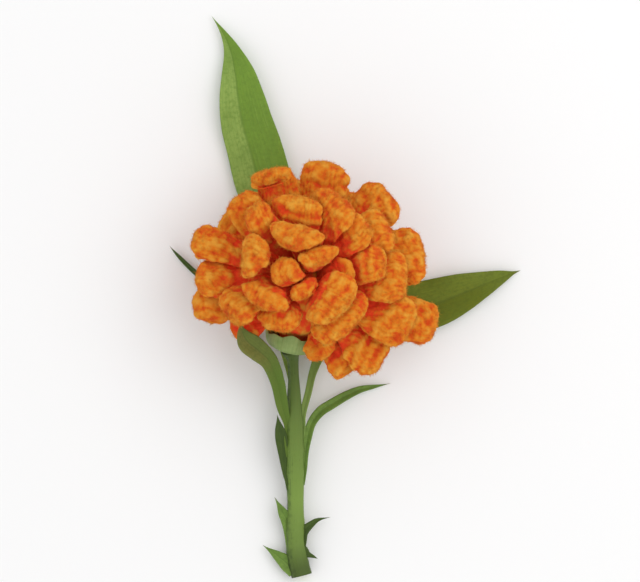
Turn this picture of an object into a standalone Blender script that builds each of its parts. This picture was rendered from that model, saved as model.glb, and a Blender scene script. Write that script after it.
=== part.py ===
"""A knitted wool chrysanthemum on its cut green stem, laid down on a table with the bloom turned up.

+Y runs from the cut end of the stem up to the tip of the long leaf, +X is to its right and +Z is up from the table.
The origin is on the table, under the middle of the whole flower. Sizes are in millimetres up to add_part, which
makes metres of them.
"""

import math

import bmesh
import bpy
import numpy as np

MM = 0.001
GAP = 0.3

# Bloom: the heart is the middle of the ball of petals, which are knitted tabs sewn to a rolled core. The core runs
# from the calyx to the heart, and a petal's root sits on it
HEART = np.array((-15.7, 6.6, 32.0))
BLOOM_AXIS = np.array((-0.25, 0.28, 0.93))
CORE_RADIUS = 11.5
CORE_STALK = 13.0
CORE_SIDES = 16
PETAL_THICKNESS = 7.4
ROOT_WIDTH = 5.2
ROOT_THICKNESS = 2.6

# The core's taper, as distance and radius: up from its foot in the calyx, and down from where its full width starts
CORE_FOOT = ((0.0, 0.0), (0.0, 3.2), (2.5, 5.6))
CORE_NECK_RADIUS = 7.2
CORE_SHOULDER = ((6.0, 9.8), (3.0, 11.1), (0.0, CORE_RADIUS))
CORE_DOME = (0, 25, 50, 72)

# Calyx: the green cup at the top of the stem, which the lower end of the core sits in. Its outside and its inside
# are distances along its axis with the radius there, and its rim rises and falls in three lobes
CALYX_BASE = np.array((-21.0, -19.6, 19.4))
CALYX_RADIUS = 11.4
CALYX_DEPTH = 8.0
CALYX_WALL = 1.3
CALYX_SIDES = 20
CALYX_OUTSIDE = ((-0.4, 0.0), (-0.4, 2.4), (0.5, 8.0), (2.6, 10.8), (CALYX_DEPTH, CALYX_RADIUS))
CALYX_INSIDE = ((7.7, CALYX_RADIUS - CALYX_WALL), (4.2, 8.4), (2.4, 6.4), (CALYX_WALL, 3.0), (CALYX_WALL, 0.0))
CALYX_LOBES = (0, 0, 0, 0.4, 1.3, 1.3, 0.4, 0, 0, 0)
LOBES_ROUND = 3
LOBES_START = -1.57

# Stem: points along its middle from the calyx down to the cut end, each with its radius
STEM = (
    (-21.2, -20.9, 18.6, 3.9),
    (-20.6, -24.5, 16.6, 2.4),
    (-20.3, -30.0, 15.0, 2.1),
    (-20.1, -38.0, 13.4, 2.6),
    (-20.0, -48.0, 12.0, 3.3),
    (-19.9, -58.0, 10.2, 3.7),
    (-19.7, -70.0, 8.2, 3.6),
    (-19.5, -81.0, 6.3, 3.2),
    (-19.5, -88.0, 5.2, 3.4),
    (-19.7, -95.0, 4.5, 3.6),
    (-19.0, -102.0, 4.1, 3.8),
    (-17.0, -109.87, 4.1, 4.1),
)
STEM_SIDES = 12
STEM_STATIONS = 30

LEAF_THICKNESS = 0.9
LEAF_SEAT = 0.9

# Leaves: points along each midrib, x, y, z and the width there, with how far the blade folds up at its edges
# (the rise over the half width), where the midrib lies across it (0 is the middle) and how far it rolls to one side
LEAVES = {
    "upper_leaf": dict(
        path=(
            (-20.4, -46.0, 8.0, 2.4),
            (-20.6, -34.0, 3.6, 3.2),
            (-22.4, -17.0, 1.4, 9.0),
            (-26.0, 3.0, 0.9, 15.5),
            (-28.0, 22.0, 0.8, 19.5),
            (-30.4, 38.0, 0.9, 21.5),
            (-33.0, 48.0, 1.2, 22.4),
            (-35.6, 58.0, 1.8, 21.8),
            (-38.6, 68.0, 2.6, 20.6),
            (-40.6, 78.0, 3.6, 18.0),
            (-42.2, 88.0, 4.2, 13.2),
            (-44.6, 97.0, 4.0, 6.6),
            (-48.0, 104.0, 3.0, 2.4),
            (-52.8, 110.95, 1.2, 0.0),
        ),
        fold=0.30,
        midrib=-0.16,
        roll=0.0,
        stations=22,
    ),
    "right_leaf": dict(
        path=(
            (-16.6, -46.0, 10.6, 2.6),
            (-14.4, -37.4, 7.0, 2.8),
            (-12.6, -29.6, 4.2, 3.2),
            (-9.0, -21.6, 2.4, 5.0),
            (-2.0, -15.4, 1.4, 9.0),
            (10.0, -10.4, 1.0, 15.0),
            (24.0, -5.6, 1.0, 19.5),
            (36.0, -2.2, 1.4, 19.0),
            (46.0, 1.6, 2.2, 15.5),
            (54.0, 4.8, 3.0, 10.6),
            (61.0, 7.6, 2.8, 5.8),
            (69.3, 10.4, 1.4, 0.0),
        ),
        fold=0.32,
        midrib=0.06,
        roll=0.10,
        stations=20,
    ),
    "left_thin_leaf": dict(
        path=(
            (-23.4, -41.0, 11.0, 1.8),
            (-28.4, -29.6, 6.6, 2.4),
            (-38.4, -12.0, 2.0, 2.6),
            (-50.6, 2.4, 1.2, 2.4),
            (-60.0, 10.4, 1.4, 2.0),
            (-66.2, 16.6, 2.0, 1.4),
            (-69.3, 20.2, 2.6, 0.0),
        ),
        fold=0.45,
        midrib=0.0,
        roll=0.35,
        stations=14,
    ),
    "left_leaf": dict(
        path=(
            (-22.6, -50.4, 13.4, 2.8),
            (-24.6, -43.0, 17.0, 4.6),
            (-26.4, -33.6, 21.6, 5.6),
            (-29.6, -25.4, 26.4, 6.8),
            (-34.2, -20.8, 30.6, 8.4),
            (-38.2, -17.4, 33.8, 8.6),
            (-40.2, -13.6, 35.6, 5.6),
            (-40.6, -10.3, 36.0, 0.0),
        ),
        fold=0.38,
        midrib=0.0,
        roll=-0.15,
        stations=16,
    ),
    "middle_right_leaf": dict(
        path=(
            (-15.6, -61.4, 9.6, 2.6),
            (-14.8, -55.6, 9.4, 3.4),
            (-13.2, -49.8, 8.8, 3.6),
            (-9.8, -45.2, 7.4, 4.0),
            (-5.2, -42.2, 5.6, 4.0),
            (0.0, -39.2, 3.8, 3.6),
            (5.8, -36.6, 2.4, 2.8),
            (11.6, -35.4, 1.6, 1.6),
            (18.3, -34.1, 1.2, 0.0),
        ),
        fold=0.40,
        midrib=0.0,
        roll=0.12,
        stations=16,
    ),
    "left_bract": dict(
        path=(
            (-23.8, -69.0, 9.8, 1.8),
            (-24.4, -62.0, 11.2, 3.6),
            (-24.9, -56.0, 12.6, 5.0),
            (-25.9, -51.0, 13.4, 3.6),
            (-26.7, -46.2, 13.8, 0.0),
        ),
        fold=0.35,
        midrib=0.0,
        roll=0.1,
        stations=10,
    ),
    "lower_left_bract": dict(
        path=(
            (-22.0, -88.4, 5.6, 6.4),
            (-24.6, -84.4, 5.9, 4.4),
            (-27.8, -78.8, 5.4, 0.0),
        ),
        fold=0.35,
        midrib=0.0,
        roll=0.1,
        stations=7,
    ),
    "lower_right_bract": dict(
        path=(
            (-16.4, -92.6, 5.2, 4.0),
            (-13.6, -89.8, 5.6, 2.8),
            (-10.6, -87.8, 5.2, 1.7),
            (-5.6, -86.8, 4.2, 0.0),
        ),
        fold=0.35,
        midrib=0.0,
        roll=0.1,
        stations=8,
    ),
    "bottom_left_leaf": dict(
        path=(
            (-22.0, -105.6, 3.8, 7.6),
            (-26.6, -102.0, 3.4, 4.2),
            (-32.6, -97.8, 2.2, 0.0),
        ),
        fold=0.30,
        midrib=0.0,
        roll=0.1,
        stations=7,
    ),
    "bottom_right_stub": dict(
        path=(
            (-15.6, -100.8, 4.4, 3.4),
            (-12.6, -102.2, 4.0, 2.0),
            (-10.7, -103.2, 3.6, 0.0),
        ),
        fold=0.25,
        midrib=0.0,
        roll=0.0,
        stations=6,
    ),
}

# Petals: where the outermost point of each lies from the heart (x, y, z), its width, how far its end rolls over (0
# straight, 1 rolled; minus rolls in towards the middle of the bloom) and how far it is twisted, in degrees
PETALS = {
    "heart_petal_1": (-3.1, 19.2, 30.5, 25.0, -0.8, 0),
    "heart_petal_2": (4.6, 8.6, 32.0, 20.0, -0.6, -55),
    "heart_petal_3": (-6.8, 1.2, 31.0, 15.0, -0.8, 10),
    "heart_petal_4": (-23.0, 9.2, 28.0, 20.0, -1.0, 0),
    "heart_petal_5": (-2.0, -3.2, 28.0, 14.0, 0.4, 0),
    "inner_petal_1": (-17.4, 25.4, 25.0, 14.0, 0.7, 10),
    "inner_petal_2": (-4.6, 28.6, 26.0, 25.0, 0.6, 0),
    "inner_petal_3": (11.6, 29.0, 25.5, 22.0, 0.6, 0),
    "inner_petal_4": (19.4, 20.8, 27.0, 18.0, 0.8, 10),
    "inner_petal_5": (26.0, 7.4, 27.0, 16.0, 0.8, 0),
    "inner_petal_6": (14.2, 1.8, 26.0, 16.0, 0.7, 0),
    "inner_petal_7": (11.4, -6.6, 29.0, 26.0, 0.7, 0),
    "inner_petal_8": (-15.9, -4.4, 28.5, 22.0, 0.7, 0),
    "middle_petal_1": (-24.8, 31.0, 12.0, 17.0, 0.5, 0),
    "middle_petal_2": (-14.0, 42.2, 12.0, 18.5, -0.6, 0),
    "middle_petal_3": (29.6, 20.0, 19.0, 20.0, 0.7, 0),
    "middle_petal_4": (36.4, 1.6, 18.0, 21.0, 0.7, 0),
    "middle_petal_5": (39.8, -17.4, 12.0, 21.0, 0.6, 0),
    "middle_petal_6": (15.0, -15.4, 22.5, 26.0, 0.7, 0),
    "middle_petal_7": (-10.8, -14.0, 20.5, 18.0, 0.7, 0),
    "middle_petal_8": (-27.6, -9.6, 17.5, 21.0, 0.8, 25),
    "outer_petal_1": (8.6, 44.8, 8.0, 20.0, 0.2, 0),
    "outer_petal_2": (32.2, 33.6, 8.0, 20.5, 0.2, 0),
    "outer_petal_3": (45.4, 10.6, 6.0, 24.0, 0.3, 0),
    "outer_petal_4": (50.6, -18.0, 2.0, 18.0, 0.3, 0),
    "outer_petal_5": (29.6, -30.8, 5.0, 20.0, 0.2, 0),
    "outer_petal_6": (-42.6, -10.0, 3.0, 14.0, 0.2, 0),
    "outer_petal_7": (-41.4, 0.8, 8.0, 16.0, 0.2, 0),
    "outer_petal_8": (-42.8, 16.0, 7.0, 15.0, 0.2, 0),
    "collar_petal_1": (-27.0, -21.0, 0.5, 16.0, 0.2, 0),
    "collar_petal_2": (19.4, -33.4, 3.4, 19.0, 0.2, 0),
    "collar_petal_3": (7.4, -28.4, 2.4, 14.0, 0.2, 0),
}

# The petals behind, which spread round the side and under the bloom: how many, the middle and the half range of
# their angles round the bloom, how far out and how far below the heart they end, their width and their roll
BACK_RINGS = {
    "back_petal": (9, 80.0, 108.0, 39.0, -11.0, 23.0, 0.3),
    "under_petal": (6, 80.0, 124.0, 25.0, -27.2, 23.0, 0.0),
}

# How finely a petal is planned along and across, and where its knitted ribs of points lie along it
ALONG = 10
ACROSS = 5
FULLNESS = np.array((0.2, 0.9, 1.0, 0.9, 0.2))
STATIONS = np.array((0.0, 0.12, 0.25, 0.38, 0.5, 0.62, 0.73, 0.83, 0.92, 0.98))
RING_POINTS = 10

# How the petals grow: the rounds, the share of their width they start with and of the rounds in which they widen,
# what a round keeps of what has moved, the last rounds that keep all of it, what a push moves of what it lacks, and
# how near to the heart, or to a petal, a thing has to be to press on it
ROUNDS = 120
FIRST_SHARE = 0.2
WIDENING = 0.6
KEPT = 0.985
LAST_ROUNDS = 30
PUSH = 0.5
NEAR_HEART = 62.0
NEAR_PETAL = 45.0
ROOT_SEAT = GAP + 0.1

WOOL = (0.76, 0.20, 0.012)
LEAF_GREEN = (0.10, 0.20, 0.03)
STEM_GREEN = (0.09, 0.19, 0.035)
CALYX_GREEN = (0.20, 0.35, 0.10)


def unit(vectors):
    """Vectors of length 1, along the last axis."""
    return vectors / np.maximum(np.linalg.norm(vectors, axis=-1, keepdims=True), 1e-9)


def through(points, count):
    """A smooth curve through hand-set points, read at evenly spread places; any extra columns follow along."""
    points = np.array(points, dtype=float)
    ends = np.vstack((2 * points[0] - points[1], points, 2 * points[-1] - points[-2]))
    places = np.linspace(0, len(points) - 1, count)
    span = np.minimum(places.astype(int), len(points) - 2)
    t = (places - span)[:, None]
    a, b, c, d = (ends[span + k] for k in range(4))
    return 0.5 * (2 * b + (c - a) * t + (2 * a - 5 * b + 4 * c - d) * t**2 + (3 * b - a - 3 * c + d) * t**3)


def add_part(name, points, faces, colour, roughness):
    """One closed sub-part from points in millimetres, with its own material."""
    mesh = bpy.data.meshes.new(name)
    mesh.from_pydata([tuple(p) for p in np.asarray(points) * MM], [], faces)
    work = bmesh.new()
    work.from_mesh(mesh)
    bmesh.ops.recalc_face_normals(work, faces=work.faces)
    if work.calc_volume(signed=True) < 0:
        bmesh.ops.reverse_faces(work, faces=work.faces)
    bmesh.ops.triangulate(work, faces=work.faces)
    work.to_mesh(mesh)
    work.free()
    mesh.shade_smooth()
    material = bpy.data.materials.new(name)
    material.use_nodes = True
    shader = material.node_tree.nodes["Principled BSDF"]
    shader.inputs["Base Color"].default_value = (*colour, 1)
    shader.inputs["Roughness"].default_value = roughness
    mesh.materials.append(material)
    part = bpy.data.objects.new(name, mesh)
    bpy.context.collection.objects.link(part)
    return part


def loft(rings):
    """Points and faces of a skin over rings of like count, closed by a flat cap or a point at each end."""
    points = np.vstack(rings)
    starts = np.cumsum([0] + [len(r) for r in rings[:-1]])
    faces = []
    for k in range(len(rings) - 1):
        low, high = starts[k], starts[k + 1]
        here, there = len(rings[k]), len(rings[k + 1])
        for i in range(max(here, there)):
            j = (i + 1) % max(here, there)
            if here == 1:
                faces.append((low, high + j, high + i))
            elif there == 1:
                faces.append((low + i, low + j, high))
            else:
                faces.append((low + i, low + j, high + j, high + i))
    for k in (0, len(rings) - 1):
        if len(rings[k]) > 1:
            faces.append(tuple(range(starts[k], starts[k] + len(rings[k]))))
    return points, faces


def across_from(along, up):
    """The directions to the side and out of the face, for a strip that runs along and faces up."""
    side = unit(np.cross(along, up))
    return side, unit(np.cross(side, along))


def stem():
    """A slightly sagging stalk, round in section, thicker where the leaves join it."""
    path = through(STEM, STEM_STATIONS)
    along = unit(np.gradient(path[:, :3], axis=0))
    side, out = across_from(along, np.array((0.0, 0.0, 1.0)))
    angles = np.arange(STEM_SIDES) * 2 * math.pi / STEM_SIDES
    rings = [
        p[:3] + p[3] * (np.cos(angles)[:, None] * s + np.sin(angles)[:, None] * o)
        for p, s, o in zip(path, side, out)
    ]
    add_part("stem", *loft(rings), STEM_GREEN, 0.55)
    return path


def clear_of_stem(points):
    """Points moved straight out from the stem where they lie in it or against it, so that a leaf's foot clasps it."""
    path = through(STEM, 90)
    away = points[:, None] - path[None, :, :3]
    distance = np.linalg.norm(away, axis=2)
    nearest = (distance - path[:, 3]).argmin(axis=1)
    rows = np.arange(len(points))
    short = path[nearest, 3] + LEAF_SEAT - distance[rows, nearest]
    return points + unit(away[rows, nearest]) * np.maximum(0, short)[:, None]


def blade_rings(path, fold, midrib, roll, thickness):
    """Eight points round each station of a leaf: its edges, and its upper and lower face folded at the midrib."""
    along = unit(np.gradient(path[:, :3], axis=0))
    side, out = across_from(along, np.array((0.0, 0.0, 1.0)))
    places = np.array((1.0, 0.5, midrib, -0.5, -1.0, -0.5, midrib, 0.5))
    skins = np.array((0.0, 0.5, 0.62, 0.5, 0.0, -0.5, -0.62, -0.5))
    rings = []
    for p, s, o in zip(path, side, out):
        half = p[3] / 2
        rise = fold * half * np.abs(places - midrib) + roll * half * (places - midrib)
        thick = thickness * min(1.0, 0.35 + half)
        middle = clear_of_stem(p[:3] + half * places[:, None] * s + rise[:, None] * o)
        rings.append(middle + thick * skins[:, None] * o)
    return rings


def leaf(name, path, fold, midrib, roll, stations):
    """One leaf blade, thin and folded along its midrib, which ends in a point."""
    rings = blade_rings(through(path, stations)[:-1], fold, midrib, roll, LEAF_THICKNESS)
    rings.append(np.array(path[-1][:3])[None, :])
    for ring in rings:
        ring[:, 2] += max(0.0, -ring[:, 2].min())
    add_part(name, *loft(rings), LEAF_GREEN, 0.5)


def turned(profile, foot, axis, count, lobes=None):
    """Rings of points round an axis through foot, from (distance along it, radius) pairs."""
    axis = unit(axis)
    side, out = across_from(axis, np.array((0.0, 0.0, 1.0)))
    angles = np.arange(count) * 2 * math.pi / count
    rings = []
    for k, (place, radius) in enumerate(profile):
        if radius == 0:
            rings.append((foot + place * axis)[None, :])
            continue
        lift = np.zeros(count) if lobes is None else lobes[k] * np.cos(LOBES_ROUND * angles - LOBES_START)
        spokes = np.cos(angles)[:, None] * side + np.sin(angles)[:, None] * out
        rings.append(foot + (place + lift)[:, None] * axis + radius * spokes)
    return rings


def core():
    """The rolled root of the knitted strip, from the calyx up to the heart of the bloom."""
    axis = HEART - CALYX_BASE
    length = np.linalg.norm(axis)
    profile = [(CALYX_WALL + GAP + place, radius) for place, radius in CORE_FOOT]
    profile.append((CALYX_DEPTH, CORE_NECK_RADIUS))
    profile += [(length - CORE_STALK - place, radius) for place, radius in CORE_SHOULDER]
    for angle in np.radians(CORE_DOME):
        profile.append((length + CORE_RADIUS * math.sin(angle), CORE_RADIUS * math.cos(angle)))
    profile.append((length + CORE_RADIUS, 0.0))
    add_part("bloom_core", *loft(turned(profile, CALYX_BASE, axis, CORE_SIDES)), WOOL, 0.9)


def core_middle(points):
    """The nearest point to each of these on the core's middle line."""
    down = unit(CALYX_BASE - HEART)
    place = np.clip((points - HEART) @ down, 0, CORE_STALK)
    return HEART + place[..., None] * down


def calyx():
    """The green cup, with a thin lobed rim."""
    rings = turned(CALYX_OUTSIDE + CALYX_INSIDE, CALYX_BASE, HEART - CALYX_BASE, CALYX_SIDES, CALYX_LOBES)
    add_part("calyx", *loft(rings), CALYX_GREEN, 0.5)


def petal_plans():
    """Each petal's name, outermost point from the heart, width, roll and twist."""
    plans = [(name, np.array(v[:3]), *v[3:]) for name, v in PETALS.items()]
    for ring, (count, middle, spread, out, drop, width, roll) in BACK_RINGS.items():
        for k in range(count):
            angle = math.radians(middle - spread + 2 * spread * k / (count - 1))
            place = np.array((out * math.cos(angle), out * math.sin(angle), drop))
            plans.append((f"{ring}_{k + 1}", place, width, roll, 0.0))
    return plans


def half_width(width, places):
    """Half a petal's width along it: narrow at the root, full from the middle on and round at the end."""
    opening = np.clip(places / 0.5, 0, 1)
    full = ROOT_WIDTH + (width - ROOT_WIDTH) * opening * opening * (3 - 2 * opening)
    end = np.clip((places - 0.66) / 0.34, 0, 1)
    return full / 2 * (1 - end**2.2) ** 0.5


def half_thickness(places):
    """Half a petal's thickness along it."""
    opening = np.clip(places / 0.7, 0, 1)
    return (ROOT_THICKNESS + (PETAL_THICKNESS - ROOT_THICKNESS) * opening) / 2 * (1 - 0.25 * places**6)


def planned_petal(place, width, roll, twist):
    """The middle line of a petal and its half width to the side, at each station."""
    down = unit(CALYX_BASE - HEART)
    foot = np.clip(0.6 * place @ down, 0, CORE_STALK) * down
    reach = np.linalg.norm(place - foot)
    out = (place - foot) / reach
    axis = unit(BLOOM_AXIS)
    over = unit(out * out.dot(axis) - axis) * (1 if roll >= 0 else -1)
    turn = math.radians(twist)
    over = over * math.cos(turn) + np.cross(out, over) * math.sin(turn)
    side = np.cross(out, over)
    curl = abs(roll)
    knots = (
        out * (CORE_RADIUS + ROOT_SEAT),
        out * reach * 0.68 - over * 3 * curl,
        out * reach * (0.96 + 0.20 * curl) - over * 1.0 * curl,
        out * reach * (1 - 0.12 * curl) + over * (1 + 8 * curl),
    )
    t = STATIONS[:, None]
    weights = ((1 - t) ** 3, 3 * (1 - t) ** 2 * t, 3 * (1 - t) * t**2, t**3)
    spine = sum(weight * knot for weight, knot in zip(weights, knots))
    return HEART + foot + spine, half_width(width, STATIONS)[:, None] * side


def fixed_points():
    """Points through the leaves, the stem and the calyx, with their radii, which the petals keep clear of."""
    places, radii = [], []
    path = through(STEM, 60)
    places.append(path[:, :3])
    radii.append(path[:, 3])
    for plan in LEAVES.values():
        path = through(plan["path"], 70)
        along = unit(np.gradient(path[:, :3], axis=0))
        side, out = across_from(along, np.array((0.0, 0.0, 1.0)))
        for across in np.linspace(-1, 1, 8):
            half = path[:, 3:] / 2
            rise = plan["fold"] * abs(across - plan["midrib"]) + plan["roll"] * (across - plan["midrib"])
            places.append(path[:, :3] + across * half * side + rise * half * out)
            radii.append(np.full(len(path), LEAF_THICKNESS * 0.8))
    rim = ((2.4, 9.0), (5.0, 10.4), (CALYX_DEPTH + 0.8, CALYX_RADIUS))
    for ring in turned(rim, CALYX_BASE, HEART - CALYX_BASE, CALYX_SIDES):
        places.append(ring)
        radii.append(np.full(len(ring), CALYX_WALL))
    places, radii = np.vstack(places), np.concatenate(radii)
    near = np.linalg.norm(places - HEART, axis=1) < NEAR_HEART
    return places[near], radii[near]


def near_pairs(a, b, reach_a, reach_b):
    """Pairs of points, one from each set, that lie nearer than their two radii."""
    squared = (a**2).sum(1)[:, None] + (b**2).sum(1)[None, :] - 2 * a @ b.T
    return np.nonzero(squared < (reach_a[:, None] + reach_b[None, :]) ** 2)


def share_room(plans):
    """The petals' middle surfaces, grown from their spines to their full width while neighbours press apart."""
    shapes = [planned_petal(*p[1:]) for p in plans]
    spines = np.array([s[0] for s in shapes])[:, :, None, :]
    sides = np.array([s[1] for s in shapes])[:, :, None, :] * np.linspace(-1, 1, ACROSS)[:, None]
    still, still_radius = fixed_points()
    radius = half_thickness(STATIONS)[None, :, None] * FULLNESS + np.zeros((len(plans), 1, 1)) + GAP / 2 + 0.1
    owner = np.repeat(np.arange(len(plans)), ALONG * ACROSS)
    other = owner[:, None] != owner[None, :]
    moved = np.zeros_like(spines + sides)
    for turn in range(ROUNDS):
        grown = min(1.0, FIRST_SHARE + turn / (WIDENING * ROUNDS))
        grid = spines + sides * grown + moved
        points = grid.reshape(-1, 3)
        reach = (radius * (1 - WIDENING + WIDENING * grown)).ravel()
        push = np.zeros_like(points)
        squared = (points**2).sum(1)[:, None] + (points**2).sum(1)[None, :] - 2 * points @ points.T
        first, second = np.nonzero((squared < (reach[:, None] + reach[None, :]) ** 2) & other)
        apart = points[first] - points[second]
        distance = np.linalg.norm(apart, axis=1)
        short = (reach[first] + reach[second] - distance) / 2
        np.add.at(push, first, apart / np.maximum(distance, 1e-6)[:, None] * short[:, None] * PUSH)
        first, second = near_pairs(points, still, reach, still_radius)
        apart = points[first] - still[second]
        distance = np.linalg.norm(apart, axis=1)
        short = reach[first] + still_radius[second] - distance
        np.add.at(push, first, apart / np.maximum(distance, 1e-6)[:, None] * short[:, None] * PUSH)
        push[:, 2] += np.maximum(0, reach + 0.05 - points[:, 2])
        from_core = points - core_middle(points)
        depth = np.linalg.norm(from_core, axis=1)
        push += unit(from_core) * np.maximum(0, CORE_RADIUS + reach - depth)[:, None]
        moved += push.reshape(moved.shape)
        evened = moved.copy()
        evened[:, 1:-1] = 0.5 * moved[:, 1:-1] + 0.25 * (moved[:, 2:] + moved[:, :-2])
        evened[:, :, 1:-1] = 0.5 * evened[:, :, 1:-1] + 0.25 * (evened[:, :, 2:] + evened[:, :, :-2])
        moved = evened * (KEPT if turn < ROUNDS - LAST_ROUNDS else 1.0)
        middle = spines[:, 0] + moved[:, 0].mean(axis=1, keepdims=True)
        foot = core_middle(middle)
        root = foot + unit(middle - foot) * (CORE_RADIUS + ROOT_SEAT)
        moved[:, 0] = root - spines[:, 0]
    return spines + sides + moved


def read_across(grid, places):
    """A petal's grid read at places from one edge, -1, to the other, 1."""
    spots = (places + 1) / 2 * (ACROSS - 1)
    low = np.minimum(spots.astype(int), ACROSS - 2)
    share = (spots - low)[None, :, None]
    return grid[:, low] * (1 - share) + grid[:, low + 1] * share


def petal_skin(grid):
    """Rings of points round a petal, from its middle surface, and the place in that surface that each stands on."""
    lengthwise = np.gradient(grid, axis=0)
    crosswise = np.gradient(grid, axis=1)
    out = unit(np.cross(lengthwise, crosswise))
    angles = np.arange(RING_POINTS) * 2 * math.pi / RING_POINTS
    places = np.sign(np.cos(angles)) * np.abs(np.cos(angles)) ** 0.7
    skins = np.sign(np.sin(angles)) * np.abs(np.sin(angles)) ** 0.7
    thick = half_thickness(STATIONS)[:, None, None]
    skin = read_across(grid, places) + unit(read_across(out, places)) * thick * skins[None, :, None]
    return skin, read_across(grid, places * 0.5)


def press_back(skins, stands, grids):
    """Draws each petal's skin in where it would reach past the half-way face to a neighbour."""
    still, still_radius = fixed_points()
    fine = []
    for grid in grids:
        half = np.repeat(grid, 2, axis=0)[:-1]
        half[1::2] = (grid[:-1] + grid[1:]) / 2
        full = np.repeat(half, 2, axis=1)[:, :-1]
        full[:, 1::2] = (half[:, :-1] + half[:, 1:]) / 2
        fine.append(full.reshape(-1, 3))
    thick = half_thickness(np.interp(np.arange(2 * ALONG - 1) / 2, np.arange(ALONG), STATIONS))
    full = np.interp(np.arange(2 * ACROSS - 1) / 2, np.arange(ACROSS), FULLNESS)
    thick = (thick[:, None] * full).ravel()
    own_thick = np.repeat(half_thickness(STATIONS), RING_POINTS)
    pressed = []
    for i, (skin, stand) in enumerate(zip(skins, stands)):
        near = [f for j, f in enumerate(fine) if j != i] + [still]
        reach = np.concatenate([thick] * (len(fine) - 1) + [still_radius])
        near = np.vstack(near)
        keep = np.linalg.norm(near - stand.reshape(-1, 3).mean(axis=0), axis=1) < NEAR_PETAL
        near, reach = near[keep], reach[keep]
        start = stand.reshape(-1, 3)
        arm = skin.reshape(-1, 3) - start
        away = near[None] - start[:, None]
        distance = np.linalg.norm(away, axis=2)
        away /= np.maximum(distance, 1e-6)[:, :, None]
        share = own_thick[:, None] / (own_thick[:, None] + reach[None])
        limit = np.maximum(distance * share - GAP * 0.75, 0.25)
        length = (arm[:, None] * away).sum(2)
        scale = np.where(length > limit, limit / np.maximum(length, 1e-6), 1.0).min(axis=1)
        pressed.append((start + arm * np.maximum(scale, 0.2)[:, None]).reshape(skin.shape))
    return pressed


def petals():
    """Every petal, as one closed solid of its own."""
    plans = petal_plans()
    grids = share_room(plans)
    made = [petal_skin(grid) for grid in grids]
    skins = press_back([m[0] for m in made], [m[1] for m in made], grids)
    for plan, grid, skin in zip(plans, grids, skins):
        end = grid[-1].mean(axis=0)
        end = end + unit(end - grid[-2].mean(axis=0)) * 0.5
        end[2] = max(end[2], 0.5)
        rings = [grid[0].mean(axis=0)[None, :], *skin, end[None, :]]
        add_part(plan[0], *loft(rings), WOOL, 0.9)


for old in list(bpy.data.objects):
    bpy.data.objects.remove(old)
stem()
for leaf_name, leaf_plan in LEAVES.items():
    leaf(leaf_name, **leaf_plan)
calyx()
core()
petals()
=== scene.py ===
"""A knitted wool chrysanthemum on its cut green stem, laid down with the bloom turned up.

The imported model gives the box, the nodes and the one body that every piece rides on. Sizes are in millimetres up to
new_piece, which makes metres of them. +Y runs from the cut end of the stem to the tip of the long leaf and +Z is up.
"""

import math

import bpy
import numpy as np
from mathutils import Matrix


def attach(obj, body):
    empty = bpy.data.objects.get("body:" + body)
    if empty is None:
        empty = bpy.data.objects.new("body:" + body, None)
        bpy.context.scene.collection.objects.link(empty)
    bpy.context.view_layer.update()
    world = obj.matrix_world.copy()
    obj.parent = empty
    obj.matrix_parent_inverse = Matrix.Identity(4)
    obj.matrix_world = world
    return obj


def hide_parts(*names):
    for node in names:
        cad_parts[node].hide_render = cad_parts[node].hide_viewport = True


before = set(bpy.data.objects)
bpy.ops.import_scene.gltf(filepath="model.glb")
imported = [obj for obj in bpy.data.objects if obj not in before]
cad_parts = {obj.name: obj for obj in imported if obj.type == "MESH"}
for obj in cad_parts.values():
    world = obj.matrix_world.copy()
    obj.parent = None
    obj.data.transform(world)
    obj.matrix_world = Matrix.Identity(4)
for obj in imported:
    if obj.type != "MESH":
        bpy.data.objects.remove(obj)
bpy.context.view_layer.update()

# Stem
# A fresh cut stalk, a little angular, with fine ribs along it and a low swelling at each place where a leaf leaves it.
# It was cut with scissors at its foot, which shows the pale pith, and its top is pushed into the cup that holds the
# bloom.
MM = 0.001

# Its middle line from the bloom down to the cut, with its radius
stem_line = (
    (-21.2, -20.9, 18.6, 3.9),
    (-20.6, -24.5, 16.6, 2.4),
    (-20.3, -30.0, 15.0, 2.1),
    (-20.1, -38.0, 13.4, 2.6),
    (-20.0, -48.0, 12.0, 3.3),
    (-19.9, -58.0, 10.2, 3.7),
    (-19.7, -70.0, 8.2, 3.6),
    (-19.5, -81.0, 6.3, 3.2),
    (-19.5, -88.0, 5.2, 3.4),
    (-19.7, -95.0, 4.5, 3.6),
    (-19.0, -102.0, 4.1, 3.8),
    (-17.0, -109.87, 4.1, 4.1),
)
stem_stations = 240
stem_sides = 56
stem_ribs = 9
rib_height = 0.13
# Where leaves leave it, as places along Y, with how far it swells there and over what length
leaf_joints = (-49.0, -60.0, -69.0, -88.5, -92.5, -101.0, -105.0)
joint_swelling = 0.22
joint_length = 1.6
# The cut end: shares of the stem's radius where its edge is rounded, where the pith ends and near its middle, and how
# deep the pith lies
cut_rounding = 0.93
pith_radius = 0.62
pith_middle = 0.3
pith_depth = 0.25

up = np.array((0.0, 0.0, 1.0))


def unit(vectors):
    """Vectors of length 1, along the last axis."""
    return vectors / np.maximum(np.linalg.norm(vectors, axis=-1, keepdims=True), 1e-9)


def through(points, places):
    """A smooth curve through rows of given values, read at places counted in rows."""
    points = np.array(points, dtype=float)
    ends = np.concatenate((2 * points[:1] - points[1:2], points, 2 * points[-1:] - points[-2:-1]))
    span = np.clip(places.astype(int), 0, len(points) - 2)
    t = (places - span).reshape((-1,) + (1,) * (points.ndim - 1))
    a, b, c, d = (ends[span + k] for k in range(4))
    return 0.5 * (2 * b + (c - a) * t + (2 * a - 5 * b + 4 * c - d) * t**2 + (3 * b - a - 3 * c + d) * t**3)


def evenly(points, count):
    """The same curve, read at evenly spread places."""
    return through(points, np.linspace(0, len(points) - 1, count))


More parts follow.
